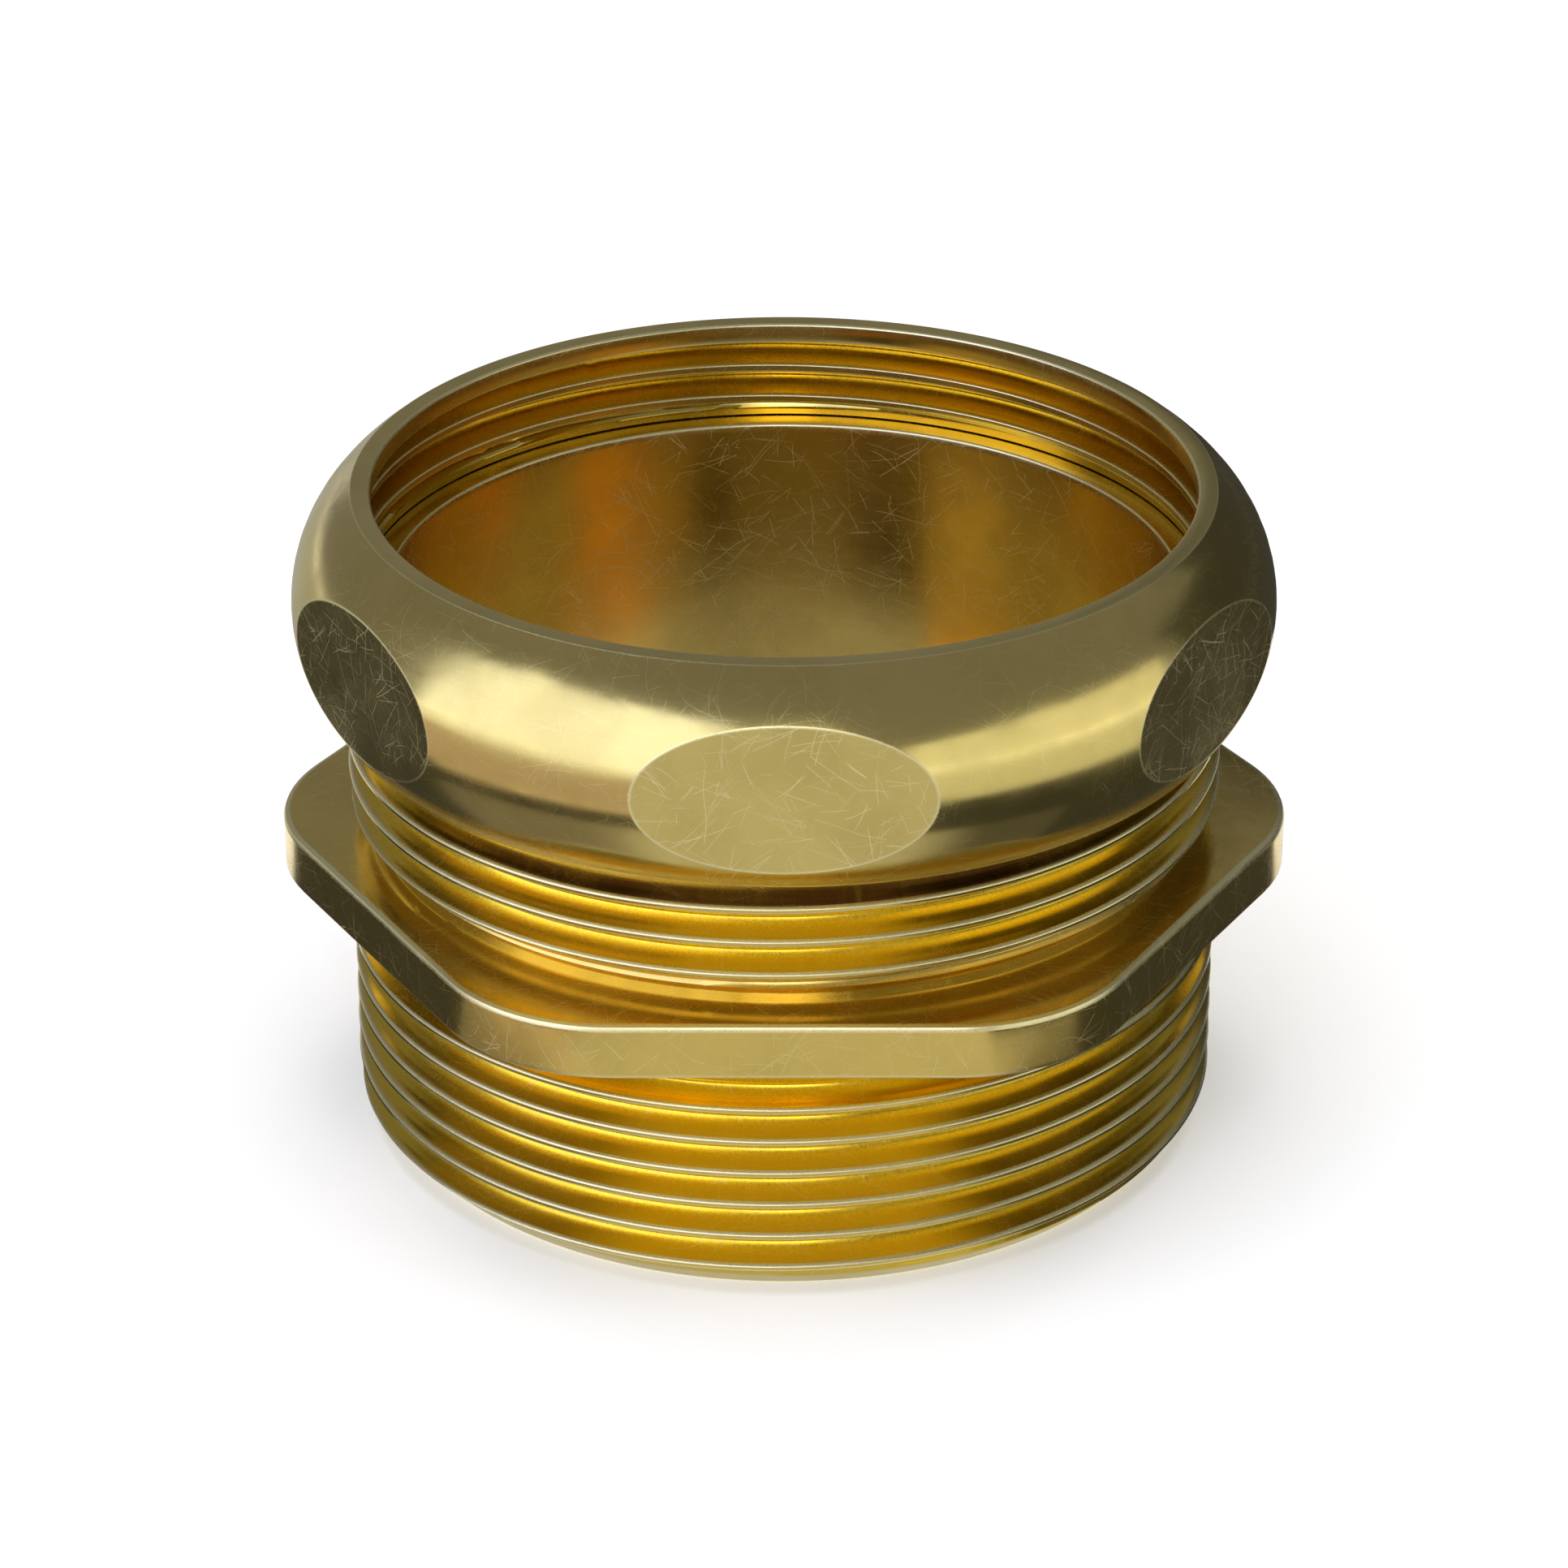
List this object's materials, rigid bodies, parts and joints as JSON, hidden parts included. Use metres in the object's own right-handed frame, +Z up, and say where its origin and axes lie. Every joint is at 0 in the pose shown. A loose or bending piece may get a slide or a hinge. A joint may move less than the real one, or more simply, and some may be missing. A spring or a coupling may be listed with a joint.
{
  "type": "trap adapter",
  "caption": "Brass pipe adapter with male threads either side of a hex flange, a smooth through bore, and a bulged slip nut with oval wrench flats on the upper thread.",
  "frame": {"origin": "on the bore's axis, at the foot of the fitting", "axes": "+Z up along the bore, from the lower thread to the slip nut; -Y towards the camera, square to a flange flat and a nut flat"},
  "size_m": [0.0558, 0.0514, 0.0371],
  "materials": {
    "body_brass": "machined, lightly scratched",
    "nut_brass": "brushed, lightly scratched"
  },
  "bodies": {
    "body": {"adapter_body": "body_brass"},
    "nut": {"slip_nut": "nut_brass"}
  },
  "joints": [
    {"name": "nut_turn", "type": "hinge", "parent": "body", "child": "nut", "pos_m": [0, 0, 0.0311], "axis": [0, 0, 1], "range_deg": [-750, 690]}
  ]
}
